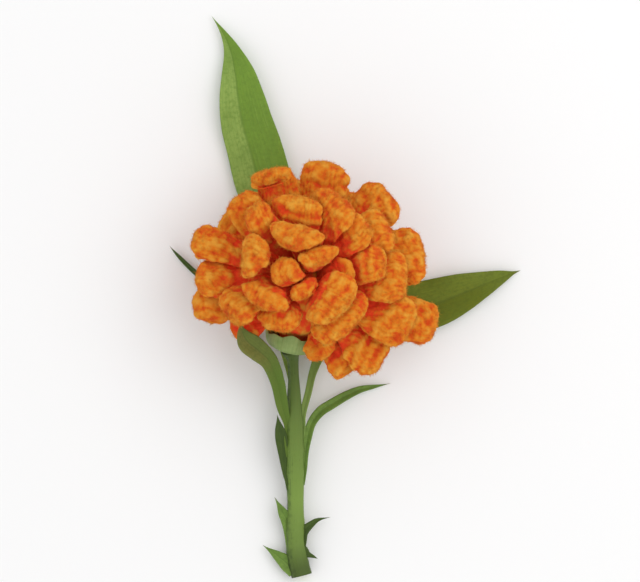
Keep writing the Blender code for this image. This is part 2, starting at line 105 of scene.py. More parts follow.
def across_from(along):
    """The directions to the side and out of the face, for a strip that runs along and faces up."""
    side = unit(np.cross(along, up))
    return side, unit(np.cross(side, along))


def lengths_from(points):
    """How far along a line of points each of them lies from the first."""
    return np.concatenate(([0.0], np.cumsum(np.linalg.norm(np.diff(points, axis=0), axis=1))))


def circle(count):
    """Angles spread evenly round a ring."""
    return np.arange(count) * 2 * math.pi / count


def wheel(angles, side, out):
    """Spokes of length 1 at these angles, counted from one direction towards the other."""
    return np.cos(angles)[:, None] * side + np.sin(angles)[:, None] * out


def smooth_step(low, high, values):
    """0 below low, 1 above high and a smooth rise between."""
    t = np.clip((values - low) / (high - low), 0, 1)
    return t * t * (3 - 2 * t)


def corners(values):
    """The values at the four corners of each face of a grid, in the order of the face's points."""
    return np.stack((values[:-1, :-1], values[:-1, 1:], values[1:, 1:], values[1:, :-1]), axis=2)


def grid_uv(across, down):
    """Surface coordinates at the corners of a grid's faces, from those of its columns and of its rows."""
    return corners(np.stack(np.broadcast_arrays(across[None, :], down[:, None]), axis=-1))


def new_piece(name, points, faces, uv, marks, material):
    """A piece of points and faces, with surface coordinates and with named values at each point for its material."""
    mesh = bpy.data.meshes.new(name)
    mesh.from_pydata((points * MM).tolist(), [], faces)
    mesh.uv_layers.new(name="surface").data.foreach_set("uv", uv.astype(np.float32).ravel())
    for mark, values in marks.items():
        mesh.attributes.new(mark, "FLOAT", "POINT").data.foreach_set("value", values.astype(np.float32))
    mesh.shade_smooth()
    mesh.materials.append(material)
    piece = bpy.data.objects.new(name, mesh)
    bpy.context.collection.objects.link(piece)
    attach(piece, "root")
    return piece


def add_piece(name, rings, faces_uv, material, node, closings=(None, None), marks=None):
    """One closed skin over rings of points, in place of its node.

    closings are the points that close the first and last ring, or None for the ring's own middle. marks are grids of
    named values, for the material to read.
    """
    rows, sides = rings.shape[:2]
    count = rows * sides
    ends = [rings[k].mean(axis=0) if closing is None else closing for k, closing in zip((0, -1), closings)]
    points = np.concatenate((rings.reshape(-1, 3), ends))
    first = np.arange(count).reshape(rows, sides)
    grid = np.concatenate((first, first[:, :1]), axis=1)
    quads = corners(grid).reshape(-1, 4)
    low = np.stack((grid[0, 1:], grid[0, :-1], np.full(sides, count)), axis=1)
    high = np.stack((grid[-1, :-1], grid[-1, 1:], np.full(sides, count + 1)), axis=1)
    faces = quads.tolist() + low.tolist() + high.tolist()
    low_uv = faces_uv[0][:, (1, 0, 0)]
    high_uv = faces_uv[-1][:, (3, 2, 2)]
    uv = np.concatenate((faces_uv.reshape(-1, 2), low_uv.reshape(-1, 2), high_uv.reshape(-1, 2)))
    given = {
        mark: np.concatenate((values.ravel(), (values[0].mean(), values[-1].mean())))
        for mark, values in (marks or {}).items()
    }
    piece = new_piece(name, points, faces, uv, given, material)
    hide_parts(node)
    return piece


class Finish:
    """A material in the making: a Principled shader and short ways to add the nodes that lead to it."""

    def __init__(self, name, roughness):
        self.material = bpy.data.materials.new(name)
        self.material.use_nodes = True
        self.tree = self.material.node_tree
        self.shader = self.tree.nodes["Principled BSDF"]
        self.shader.inputs["Roughness"].default_value = roughness

    def put(self, value, socket):
        if isinstance(value, bpy.types.NodeSocket):
            self.tree.links.new(value, socket)
        else:
            socket.default_value = value

    def math(self, operation, a, b=0.0):
        node = self.tree.nodes.new("ShaderNodeMath")
        node.operation = operation
        for value, socket in zip((a, b), node.inputs):
            self.put(value, socket)
        return node.outputs[0]

    def plus(self, a, b):
        return self.math("ADD", a, b)

    def minus(self, a, b):
        return self.math("SUBTRACT", a, b)

    def times(self, a, b):
        return self.math("MULTIPLY", a, b)

    def rise(self, value, low, high, to_low=0.0, to_high=1.0):
        node = self.tree.nodes.new("ShaderNodeMapRange")
        node.interpolation_type = "SMOOTHSTEP"
        sockets = ("Value", "From Min", "From Max", "To Min", "To Max")
        for name, given in zip(sockets, (value, low, high, to_low, to_high)):
            self.put(given, node.inputs[name])
        return node.outputs["Result"]

    def surface(self):
        node = self.tree.nodes.new("ShaderNodeUVMap")
        node.uv_map = "surface"
        split = self.tree.nodes.new("ShaderNodeSeparateXYZ")
        self.tree.links.new(node.outputs["UV"], split.inputs[0])
        return split.outputs["X"], split.outputs["Y"]

    def place(self):
        return self.tree.nodes.new("ShaderNodeTexCoord").outputs["Object"]

    def attribute(self, name):
        node = self.tree.nodes.new("ShaderNodeAttribute")
        node.attribute_name = name
        return node.outputs["Fac"]

    def joined(self, x, y):
        node = self.tree.nodes.new("ShaderNodeCombineXYZ")
        for value, socket in zip((x, y), node.inputs):
            self.put(value, socket)
        return node.outputs[0]

    def noise(self, where, scale, detail=3.0, rough=0.55):
        node = self.tree.nodes.new("ShaderNodeTexNoise")
        self.put(where, node.inputs["Vector"])
        node.inputs["Scale"].default_value = scale
        node.inputs["Detail"].default_value = detail
        node.inputs["Roughness"].default_value = rough
        return node.outputs["Fac"]

    def ramp(self, value, stops):
        node = self.tree.nodes.new("ShaderNodeValToRGB")
        self.put(value, node.inputs[0])
        elements = node.color_ramp.elements
        while len(elements) < len(stops):
            elements.new(0.5)
        for element, (place, colour) in zip(elements, stops):
            element.position = place
            element.color = (*colour, 1)
        return node.outputs[0]

    def mix(self, share, a, b, kind="MIX"):
        node = self.tree.nodes.new("ShaderNodeMix")
        node.data_type = "RGBA"
        node.blend_type = kind
        self.put(share, node.inputs[0])
        for value, socket in ((a, node.inputs[6]), (b, node.inputs[7])):
            self.put(value if isinstance(value, bpy.types.NodeSocket) else (*value, 1), socket)
        return node.outputs[2]

    def bump(self, height, distance, strength):
        node = self.tree.nodes.new("ShaderNodeBump")
        self.put(height, node.inputs["Height"])
        node.inputs["Distance"].default_value = distance
        node.inputs["Strength"].default_value = strength
        self.tree.links.new(node.outputs[0], self.shader.inputs["Normal"])


# The skin is painted yellow-green on its upper right as painted light, where the lamp falls, and darker on its left as
# painted shade, with streaks
stem_dark = (0.060, 0.100, 0.030)
stem_middle = (0.125, 0.210, 0.042)
stem_light = (0.270, 0.420, 0.080)
pith_colour = (0.46, 0.50, 0.22)
# Painted shade along its length, dark under the bloom and again at the cut end: how many millimetres from the bloom,
# and the share of its full lightness
stem_painted_shade = ((0.0, 0.30), (20.0, 0.40), (45.0, 0.58), (60.0, 0.70), (78.0, 0.54), (88.0, 0.27))

path = evenly(stem_line, stem_stations)
along = unit(np.gradient(path[:, :3], axis=0))
side, out = across_from(along)
angles = circle(stem_sides)
ribs = rib_height * (np.abs(np.sin(angles[None, :] * stem_ribs / 2 + path[:, 1:2] * 0.012)) - 0.6)
swelling = np.zeros(stem_stations)
for joint in leaf_joints:
    swelling += joint_swelling * np.exp(-(((path[:, 1] - joint) / joint_length) ** 2))
radius = path[:, 3:] + swelling[:, None] + ribs
rings = path[:, None, :3] + radius[:, :, None] * wheel(angles, side[:, None], out[:, None])
length_along = lengths_from(path[:, :3])
cut_middle = rings[-1].mean(axis=0)
cut = np.array([cut_middle + (rings[-1] - cut_middle) * share for share in (cut_rounding, pith_radius, pith_middle)])
cut[1:] -= along[-1] * pith_depth
rings = np.concatenate((rings, cut))
rings[:, :, 2] = np.maximum(rings[:, :, 2], 0.0)
lengths = np.concatenate((length_along, length_along[-1] + np.array((1.0, 2.0, 3.0))))
surface = grid_uv(np.linspace(0, 1, stem_sides + 1), lengths)

finish = Finish("fresh_stem_green", 0.5)
around, down = finish.surface()
streak_place = finish.joined(finish.times(around, 46.0), finish.times(down, 0.06))
streak = finish.noise(streak_place, 1.0, 4.0)
# Painted light: the side towards the lamp is lighter and the far side darker, and the streaks are added to it
painted_light_and_streaks = finish.math("COSINE", finish.times(finish.minus(around, 0.34), 2 * math.pi))
painted_light_and_streaks = finish.plus(finish.times(painted_light_and_streaks, 0.42), finish.times(streak, 1.1))
mottle = finish.noise(finish.place(), 480.0, 3.0, 0.7)
tone = finish.plus(painted_light_and_streaks, finish.times(finish.minus(mottle, 0.25), 0.9))
green = finish.ramp(tone, ((0.15, stem_dark), (0.62, stem_middle), (1.0, stem_light)))
# Painted shade: the green is darkened along the stem, under the bloom and towards the cut end
shades = [(place / 100, (share, share, share)) for place, share in stem_painted_shade]
shade = finish.ramp(finish.math("DIVIDE", down, 100.0), shades)
green = finish.mix(1.0, green, shade, "MULTIPLY")
at_cut = finish.rise(down, float(length_along[-1]) + 0.9, float(length_along[-1]) + 1.3)
green = finish.mix(at_cut, green, pith_colour)
finish.put(green, finish.shader.inputs["Base Color"])
finish.shader.inputs["Specular IOR Level"].default_value = 0.2
finish.bump(finish.plus(streak, finish.times(mottle, 0.4)), 0.0002, 0.5)
add_piece("stem_stalk", rings, surface, finish.material, "stem")

# Leaves
# Ten long smooth leaves and small bracts, each one thin blade with a midrib and fine veins that run along it. Each
# grows out of the stem, with a foot that runs down it as a low ridge. The largest two are bent under the bloom, and
# the left one curls up in front of it.
leaf_thickness = 0.9

# Each is its midrib's points with the width there, the points of its foot on the stem, the rise of its edges over
# its half width, where the midrib lies across it, how far it rolls to one side, how high its edge waves and how long
# a wave is, how many veins show on each side, its greens, and how many points it has along and across
leaves = {
    "upper_leaf": dict(
        points=(
            (-20.4, -46.0, 8.0, 2.4), (-20.6, -34.0, 3.6, 3.2), (-22.4, -17.0, 1.4, 9.0),
            (-26.0, 3.0, 0.9, 15.5), (-28.0, 22.0, 0.8, 19.5), (-30.4, 38.0, 0.9, 21.5),
            (-33.0, 48.0, 1.2, 22.4), (-35.6, 58.0, 1.8, 21.8), (-38.6, 68.0, 2.6, 20.6),
            (-40.6, 78.0, 3.6, 18.0), (-42.2, 88.0, 4.2, 13.2), (-44.6, 97.0, 4.0, 6.6),
            (-48.0, 104.0, 3.0, 2.4), (-52.8, 110.95, 1.2, 0.0),
        ),
        foot=((-19.9, -56.0, 7.2, 0.6), (-20.1, -51.0, 7.9, 1.8)),
        fold=0.30, midrib=-0.16, roll=0.0, wave=(0.45, 37.0), veins=7, look="light", spread=(170, 30),
    ),
    "right_leaf": dict(
        points=(
            (-16.6, -46.0, 10.6, 2.6), (-14.4, -37.4, 7.0, 2.8), (-12.6, -29.6, 4.2, 3.2),
            (-9.0, -21.6, 2.4, 5.0), (-2.0, -15.4, 1.4, 9.0), (10.0, -10.4, 1.0, 15.0),
            (24.0, -5.6, 1.0, 19.5), (36.0, -2.2, 1.4, 19.0), (46.0, 1.6, 2.2, 15.5), (54.0, 4.8, 3.0, 10.6),
            (61.0, 7.6, 2.8, 5.8), (69.3, 10.4, 1.4, 0.0),
        ),
        foot=((-16.8, -58.0, 8.7, 0.6), (-16.7, -52.0, 9.8, 2.2)),
        fold=0.32, midrib=0.06, roll=0.10, wave=(0.5, 26.0), veins=6, look="deep", spread=(130, 28),
    ),
    "left_thin_leaf": dict(
        points=(
            (-23.4, -41.0, 11.0, 1.8), (-28.4, -29.6, 6.6, 2.4), (-38.4, -12.0, 2.0, 2.6),
            (-50.6, 2.4, 1.2, 2.4), (-60.0, 10.4, 1.4, 2.0), (-66.2, 16.6, 2.0, 1.4),
            (-69.3, 20.2, 2.6, 0.0),
        ),
        foot=((-22.9, -50.5, 9.9, 0.5), (-22.8, -46.0, 10.6, 1.6)),
        fold=0.45, midrib=0.0, roll=0.35, wave=(0.05, 20.0), veins=2, look="dark", spread=(90, 8),
    ),
    "left_leaf": dict(
        points=(
            (-22.6, -50.4, 13.4, 2.8), (-24.6, -43.0, 17.0, 4.6), (-26.4, -33.6, 21.6, 5.6),
            (-29.6, -25.4, 26.4, 6.8), (-34.2, -20.8, 30.6, 8.4), (-38.2, -17.4, 33.8, 8.6),
            (-40.2, -13.6, 35.6, 5.6), (-40.6, -10.3, 36.0, 0.0),
        ),
        foot=((-22.9, -63.0, 11.4, 0.6), (-22.8, -56.5, 12.6, 2.4)),
        fold=0.38, midrib=0.0, roll=-0.15, wave=(0.25, 15.0), veins=4, look="olive", spread=(90, 16),
    ),
    "middle_right_leaf": dict(
        points=(
            (-15.6, -61.4, 9.6, 2.6), (-14.8, -55.6, 9.4, 3.4), (-13.2, -49.8, 8.8, 3.6),
            (-9.8, -45.2, 7.4, 4.0), (-5.2, -42.2, 5.6, 4.0), (0.0, -39.2, 3.8, 3.6), (5.8, -36.6, 2.4, 2.8),
            (11.6, -35.4, 1.6, 1.6), (18.3, -34.1, 1.2, 0.0),
        ),
        foot=((-16.2, -74.0, 7.5, 0.6), (-16.2, -67.5, 8.6, 2.6)),
        fold=0.40, midrib=0.0, roll=0.12, wave=(0.15, 14.0), veins=3, look="fresh", spread=(80, 10),
    ),
    "left_bract": dict(
        points=(
            (-23.8, -69.0, 9.8, 1.8), (-24.4, -62.0, 11.2, 3.6), (-24.9, -56.0, 12.6, 5.0),
            (-25.9, -51.0, 13.4, 3.6), (-26.7, -46.2, 13.8, 0.0),
        ),
        foot=((-22.8, -76.0, 8.3, 0.5), (-23.0, -72.5, 9.2, 1.4)),
        fold=0.35, midrib=0.0, roll=0.1, wave=(0.08, 9.0), veins=3, look="dark", spread=(44, 9),
    ),
    "lower_left_bract": dict(
        points=((-22.6, -88.8, 5.5, 4.8), (-24.8, -84.4, 5.9, 3.8), (-27.8, -78.8, 5.4, 0.0)),
        foot=((-22.7, -100.0, 4.3, 0.6), (-22.5, -94.5, 4.9, 2.6)),
        fold=0.35, midrib=0.0, roll=0.1, wave=(0.05, 8.0), veins=3, look="fresh", spread=(30, 10),
    ),
    "lower_right_bract": dict(
        points=(
            (-16.4, -92.6, 5.2, 4.0), (-13.6, -89.8, 5.6, 2.8), (-10.6, -87.8, 5.2, 1.7),
            (-5.6, -86.8, 4.2, 0.0),
        ),
        foot=((-16.1, -101.0, 4.3, 0.6), (-16.1, -96.5, 4.7, 2.0)),
        fold=0.35, midrib=0.0, roll=0.1, wave=(0.05, 8.0), veins=2, look="dark", spread=(34, 8),
    ),
    "bottom_left_leaf": dict(
        points=((-22.4, -105.4, 3.8, 6.4), (-26.6, -102.0, 3.4, 4.0), (-32.6, -97.8, 2.2, 0.0)),
        foot=((-19.8, -108.8, 3.9, 5.0),),
        fold=0.30, midrib=0.0, roll=0.1, wave=(0.05, 8.0), veins=3, look="fresh", spread=(34, 10),
    ),
    "bottom_right_stub": dict(
        points=(
            (-16.2, -100.9, 4.3, 6.2), (-14.4, -101.6, 4.2, 3.0), (-12.6, -102.3, 4.0, 2.0), (-10.7, -103.2, 3.6, 0.0),
        ),
        foot=((-18.6, -100.6, 4.3, 8.6),),
        fold=0.25, midrib=0.0, roll=0.0, wave=(0.0, 8.0), veins=2, look="dark", spread=(20, 8),
    ),
}

# The greens of a blade in each look: its left half, lighter with painted light, its right half, darker with painted
# shade, and its veins
leaf_lit_and_shaded_greens = {
    "light": ((0.262, 0.385, 0.080), (0.170, 0.298, 0.034), (0.125, 0.225, 0.028)),
    "deep": ((0.155, 0.200, 0.016), (0.135, 0.175, 0.012), (0.095, 0.130, 0.010)),
    "fresh": ((0.172, 0.285, 0.050), (0.145, 0.250, 0.040), (0.090, 0.160, 0.028)),
    "dark": ((0.065, 0.110, 0.018), (0.055, 0.095, 0.015), (0.040, 0.070, 0.012)),
    "olive": ((0.190, 0.205, 0.046), (0.140, 0.180, 0.032), (0.095, 0.130, 0.024)),
}
dry_tip = (0.190, 0.165, 0.055)
# Two leaves have a foot of another green: its colour, and the stretch of the blade over which it goes over into the
# blade's own green, in millimetres from where the foot starts
foot_greens = {
    "right_leaf": ((0.270, 0.410, 0.110), 40.0, 52.0),
    "left_leaf": ((0.098, 0.175, 0.020), 34.0, 50.0),
}
tip_share = 0.97
midrib_width = 0.055
groove_depth = 0.16
rib_depth = 0.34
vein_height = 0.035
leaf_edge = 0.25
# How much thicker its foot is, how far up that goes, and how its last few millimetres are drawn out to a point
foot_thickness = 1.0
foot_reach = 6.0
point_share = 0.45
point_reach = 4.0


def leaf_finish(name, plan, length):
    """Smooth green with one half lighter by painted light, fine dark veins along the blade, streaks and a dry tip."""
    left, right, vein = leaf_lit_and_shaded_greens[plan["look"]]
    finish = Finish(name + "_green", 0.42)
    across, down = finish.surface()
    half = finish.rise(across, plan["midrib"] - 0.05, plan["midrib"] + 0.05)
    streak_place = finish.joined(finish.times(across, 16.0), finish.times(down, 0.05))
    streak = finish.noise(streak_place, 1.0, 5.0, 0.65)
    mottle = finish.noise(finish.place(), 90.0, 5.0)
    speckle = finish.noise(finish.place(), 700.0, 3.0, 0.7)
    # Painted light and shade: one half of the blade takes the lit green and the other the shaded one
    green = finish.mix(half, left, right)
    green = finish.mix(finish.rise(mottle, 0.35, 0.75, 0.0, 0.5), green, vein)
    lines = finish.math("COSINE", finish.times(across, 2 * math.pi * plan["veins"]))
    lines = finish.times(finish.rise(lines, 0.45, 1.0), 0.45)
    green = finish.mix(finish.times(lines, streak), green, vein)
    near_rib = finish.math("ABSOLUTE", finish.minus(across, plan["midrib"]))
    green = finish.mix(finish.rise(near_rib, 0.01, midrib_width * 1.5, 0.65, 0.0), green, vein)
    green = finish.mix(finish.rise(streak, 0.5, 0.8, 0.0, 0.3), green, tuple(min(1, 1.35 * c) for c in left))
    green = finish.mix(finish.rise(speckle, 0.42, 0.68, 0.0, 0.55), green, vein)
    if name in foot_greens:
        foot_green, fades_from, fades_to = foot_greens[name]
        green = finish.mix(finish.rise(down, fades_from, fades_to, 0.8, 0.0), green, foot_green)
    dried = finish.times(finish.rise(down, length * tip_share, length), finish.rise(mottle, 0.3, 0.6))
    finish.put(finish.mix(dried, green, dry_tip), finish.shader.inputs["Base Color"])
    rough = finish.plus(finish.times(streak, 0.25), 0.4)
    finish.put(rough, finish.shader.inputs["Roughness"])
    finish.shader.inputs["Specular IOR Level"].default_value = 0.2
    finish.bump(finish.minus(streak, finish.times(lines, 0.6)), 0.00015, 0.5)
    return finish.material


for name, plan in leaves.items():
    stations, spread = plan["spread"]
    path = evenly(plan["foot"] + plan["points"], stations)[:-1]
    along = unit(np.gradient(path[:, :3], axis=0))
    side, out = across_from(along)
    steps = np.cos(np.linspace(0, math.pi, spread + 1))
    steps = 0.65 * np.linspace(1, -1, spread + 1) + 0.35 * steps
    length_along = lengths_from(path[:, :3])
    to_tip = length_along[-1] - length_along
    half = path[:, 3:] / 2 * (1 - point_share * np.exp(-((to_tip / point_reach) ** 2)))[:, None]
    valley = np.sqrt((steps - plan["midrib"]) ** 2 + 0.006) - math.sqrt(0.006)
    rise = half * (plan["fold"] * valley + plan["roll"] * (steps - plan["midrib"]))
    height, period = plan["wave"]
    beat = np.sin(length_along / period * 2 * math.pi)[:, None] * np.sign(steps)
    beat += 0.6 * np.sin(length_along / period * 3.7 + 1.0)[:, None]
    rise += height * beat * np.abs(steps) ** 1.8 * np.minimum(1, half / 4)
    middle = path[:, None, :3] + (half * steps)[:, :, None] * side[:, None] + rise[:, :, None] * out[:, None]
    at_foot = 1 - smooth_step(0, 1, length_along / (2 * foot_reach))[:, None]
    thick = leaf_thickness * np.minimum(1.0, 0.35 + half) * 0.5 * (1 + foot_thickness * at_foot)
    body = leaf_edge + (1 - leaf_edge) * np.sqrt(1 - steps**4)
    body[[0, -1]] = 0
    near_rib = np.exp(-(((steps - plan["midrib"]) / midrib_width) ** 2))
    veins = vein_height * np.cos(steps * 2 * math.pi * plan["veins"]) * (1 - steps**6)
    grown = np.minimum(1, half / 3) * (1 - at_foot)
    upper = thick * body - grown * (groove_depth * near_rib + veins)
    lower = thick * body + grown * rib_depth * near_rib
    top = middle + upper[:, :, None] * out[:, None]
    under = (middle - lower[:, :, None] * out[:, None])[:, -2:0:-1]
    rings = np.concatenate((top, under), axis=1)
    rings[:, :, 2] += np.maximum(0.0, -rings[:, :, 2].min(axis=1))[:, None]
    over = np.concatenate((steps, steps[-2::-1]))
    tip = np.array(plan["points"][-1][:3])
    green = leaf_finish(name, plan, float(length_along[-1]))
    add_piece(name + "_blade", rings, grid_uv(over, length_along), green, name, (None, tip))

# Cup
# The green cup at the top of the stem, where its pointed scales are grown together. Their tips stand up round the sewn
# foot of the bloom, brownish at the rim, and a thin pale wax covers them.
heart = np.array((-15.7, 6.6, 32.0))
cup_base = np.array((-21.0, -19.6, 19.4))
cup_depth = 8.0
cup_radius = 11.4
cup_wall = 1.3
cup_axis = unit(heart - cup_base)
cup_sides = 128
# Distance along its axis and radius, up its outside, over its rim and down its inside, and how far the rim's three
# slow waves and its scales' tips reach there
cup_line = (
    (-0.4, 1.2, 0.0, 0.0),
    (-0.3, 2.6, 0.0, 0.0),
    (0.2, 6.4, 0.0, 0.0),
    (1.0, 9.0, 0.1, 0.1),
    (2.6, 10.6, 0.5, 0.4),
    (5.2, 11.3, 1.0, 0.8),
    (7.7, 11.4, 1.3, 1.3),
    (8.1, 11.1, 1.3, 1.4),
    (7.6, 10.4, 1.3, 1.2),
    (6.2, 9.6, 0.9, 0.6),
    (4.2, 8.3, 0.4, 0.0),
    (2.4, 6.4, 0.0, 0.0),
    (1.4, 3.0, 0.0, 0.0),
    (1.35, 1.0, 0.0, 0.0),
)
rim_waves = 3
first_wave = 1.57
cup_scales = 9
scale_groove = 0.35
cup_green = (0.150, 0.235, 0.048)
cup_pale = (0.280, 0.375, 0.115)
cup_rim = (0.270, 0.200, 0.070)

line = evenly(cup_line, 84)
angles = circle(cup_sides)
side = unit(np.cross(cup_axis, up))
out = np.cross(side, cup_axis)
spokes = wheel(angles, side, out)
scale_place = np.abs((angles * cup_scales / (2 * math.pi) + 0.2) % 1 - 0.5) * 2
lift = line[:, 2:3] * np.cos(rim_waves * angles + first_wave) + line[:, 3:4] * (0.55 - scale_place**1.3)
outside = np.clip((52 - np.arange(len(line))) / 10, 0, 1)[:, None] * smooth_step(0.6, 4.5, line[:, :1])
radius = line[:, 1:2] - outside * scale_groove * np.exp(-(((1 - scale_place) / 0.16) ** 2))
radius = radius + 0.05 * outside * np.cos(angles * cup_scales * 6)
rings = cup_base + (line[:, :1] + lift)[:, :, None] * cup_axis + radius[:, :, None] * spokes
surface = grid_uv(np.linspace(0, 1, cup_sides + 1), np.linspace(0, 1, len(line)))

finish = Finish("pale_cup_green", 0.6)
around, upward = finish.surface()
streak_place = finish.joined(finish.times(around, 90.0), finish.times(upward, 2.0))
streak = finish.noise(streak_place, 1.0, 4.0)
mottle = finish.noise(finish.place(), 260.0, 4.0)
pale = finish.plus(finish.times(streak, 0.6), finish.times(mottle, 0.6))
green = finish.ramp(pale, ((0.35, cup_green), (0.75, cup_pale)))
at_rim = finish.math("ABSOLUTE", finish.minus(upward, 0.54))
green = finish.mix(finish.times(finish.rise(at_rim, 0.0, 0.07, 0.8, 0.0), mottle), green, cup_rim)
finish.put(green, finish.shader.inputs["Base Color"])
finish.bump(finish.plus(streak, mottle), 0.0002, 0.5)
add_piece("calyx_cup", rings, surface, finish.material, "calyx")

# Foot of the bloom
# The knitted strip is rolled up from one end and sewn through its lower edge. The roll is what the petals stand out
# from, and its foot sits in the cup. It is knitted in the same orange wool, in plain stitches whose two legs make a V.
core_radius = 11.5
core_stalk = 13.0
stitch_width = 5.0
stitch_height = 3.8
stitch_slant = 0.7
stitch_relief = 0.5

# Hand knitting is uneven: it swells and sinks in soft lumps, each size of them with its height, in millimetres
lumps = ((5.0, 0.30), (11.0, 0.15))
waves_each = 7
lump_height = 0.42

# The wool is painted lightest on the rounded backs of the stitches and rusty in the holes between them, as painted
# shade, and a bright deep red down between the petals, a painted shade that stands for light that has passed from wool
# to wool
wool_light = (0.785, 0.352, 0.043)
wool_orange = (0.755, 0.222, 0.017)
wool_rust = (0.705, 0.128, 0.014)
wool_hole = (0.660, 0.072, 0.011)
wool_painted_crease_red = (0.900, 0.060, 0.022)


def stitches(across, down):
    """How high the knitting stands, 0 in a hole and 1 on a full stitch, at places counted in stitches."""
    column = np.round(across)
    off = np.abs(across - column)
    slanted = down - stitch_slant * off
    row = np.floor(slanted)
    to_leg = np.abs(off - 0.25) * 4
    to_row = np.abs(slanted - row - 0.5) * 2
    fat = 0.85 + 0.15 * np.sin(2.3 * row + 4.1 * column)
    return fat * (1 - 0.45 * smooth_step(0.3, 1, to_leg) - 0.45 * smooth_step(0.3, 1, to_row))


def lumpiness(points, random):
    """How far the knitting swells at these points, as a share of the lumps' whole height, from about -1 to 1."""
    total = np.zeros(points.shape[:-1])
    for size, height in lumps:
        for _ in range(waves_each):
            direction = unit(random.normal(size=3)) * 2 * math.pi / (size * random.uniform(0.8, 1.25))
            total += height * np.sin(points @ direction + random.uniform(0, 2 * math.pi)) / waves_each**0.5
    return total / sum(height for _, height in lumps)


# The wool's places on the scale from dark to light, at which it has these colours
wool_stops = ((0.36, wool_hole), (0.57, wool_rust), (0.77, wool_orange), (1.10, wool_light))

finish = Finish("orange_knitted_wool", 0.9)
across, down = finish.surface()
where = finish.place()
column = finish.math("FLOOR", finish.plus(across, 0.5))
off = finish.math("ABSOLUTE", finish.minus(across, column))
slanted = finish.minus(down, finish.times(off, stitch_slant))
row = finish.math("FLOOR", slanted)
in_row = finish.minus(slanted, row)
to_leg = finish.times(finish.math("ABSOLUTE", finish.minus(off, 0.25)), 4.0)
to_row = finish.math("ABSOLUTE", finish.minus(finish.times(in_row, 2.0), 1.0))
fat = finish.math("SINE", finish.plus(finish.times(row, 2.3), finish.times(column, 4.1)))
fat = finish.plus(finish.times(fat, 0.15), 0.85)
height = finish.minus(1.0, finish.rise(to_leg, 0.3, 1.0, 0.0, 0.45))
height = finish.minus(height, finish.rise(to_row, 0.3, 1.0, 0.0, 0.45))
height = finish.times(height, fat)
proud = finish.attribute("swell")
patch = finish.noise(where, 360.0, 2.0)
speckle = finish.noise(where, 800.0, 3.0, 0.7)
fibre = finish.noise(where, 2200.0, 3.0, 0.7)
hidden = finish.attribute("hidden")
# Painted shade: the tone drops in the holes between the stitches and where the lumps sink, on top of its random
# patches and speckle
tone = finish.times(height, 0.30)
tone = finish.plus(tone, finish.times(proud, 0.26))
tone = finish.plus(tone, finish.times(patch, 0.64))
tone = finish.plus(tone, finish.times(speckle, 0.54))
# A ramp ends at 1 and the scale goes past it, so both are halved
tone = finish.times(tone, 0.5)
wool = finish.ramp(tone, [(place / 2, colour) for place, colour in wool_stops])
# Painted shade: deep red where neighbours hide the wool from the light and at the petals' feet
painted_crease_share = finish.minus(hidden, finish.times(finish.minus(tone, 0.37), 1.4))
wool = finish.mix(finish.rise(painted_crease_share, 0.55, 1.10, 0.0, 0.9), wool, wool_painted_crease_red)
finish.put(wool, finish.shader.inputs["Base Color"])
relief = finish.plus(finish.times(speckle, 0.6), finish.times(fibre, 0.5))
finish.bump(finish.plus(relief, finish.times(height, 0.5)), 0.0005, 0.6)
finish.shader.inputs["Specular IOR Level"].default_value = 0.05
finish.shader.inputs["Sheen Weight"].default_value = 0.25
finish.shader.inputs["Sheen Roughness"].default_value = 0.5
finish.shader.inputs["Sheen Tint"].default_value = (1.0, 0.50, 0.14, 1)
knitted_wool = finish.material

core_sides = 150
core_length = float(np.linalg.norm(heart - cup_base))
core_line = [(cup_wall + 0.3, 2.0), (cup_wall + 0.5, 3.6), (cup_wall + 3.0, 5.6), (cup_depth, 7.2)]
core_line += [(core_length - core_stalk - 6, 9.8), (core_length - core_stalk - 3, 11.1)]
core_line += [(core_length - core_stalk, core_radius), (core_length - core_stalk / 2, core_radius)]
for degrees in (0, 20, 40, 60, 78):
    lean = math.radians(degrees)
    core_line.append((core_length + core_radius * math.sin(lean), core_radius * math.cos(lean)))
line = evenly(core_line, 70)
spokes = wheel(circle(core_sides), side, out)
climbed = lengths_from(line) / stitch_height
columns = round(2 * math.pi * core_radius / stitch_width)
turn = np.linspace(0, columns, core_sides + 1)
random = np.random.default_rng(5)
raised = stitches(turn[None, :-1], climbed[:, None]) - 1
radius = line[:, 1:2] + stitch_relief * 0.6 * raised
rings = cup_base + line[:, :1, None] * cup_axis + radius[:, :, None] * spokes
swell = lumpiness(rings, random)
top = cup_base + (core_length + core_radius - 0.6) * cup_axis
# Painted shade: the whole roll lies deep in the bloom, so its wool takes the deep-red painted shade
marks = {"swell": swell, "hidden": np.full(swell.shape, 0.9)}
surface = grid_uv(turn, climbed)
add_piece("bloom_core_roll", rings, surface, knitted_wool, "bloom_core", (None, top), marks)

# Petals
# 47 thick tabs knitted in one strip of orange wool. They are narrow where they are sewn to the roll, widen to a round
# end and curl over there, as knitting does. Each is pressed out of shape by its neighbours, so they are grown here
# from narrow to full width while they push each other aside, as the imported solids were.
bloom_axis = np.array((-0.25, 0.28, 0.93))
petal_gap = 0.3
petal_thickness = 7.4
root_width = 5.2
root_thickness = 2.6
root_seat = petal_gap + 0.1

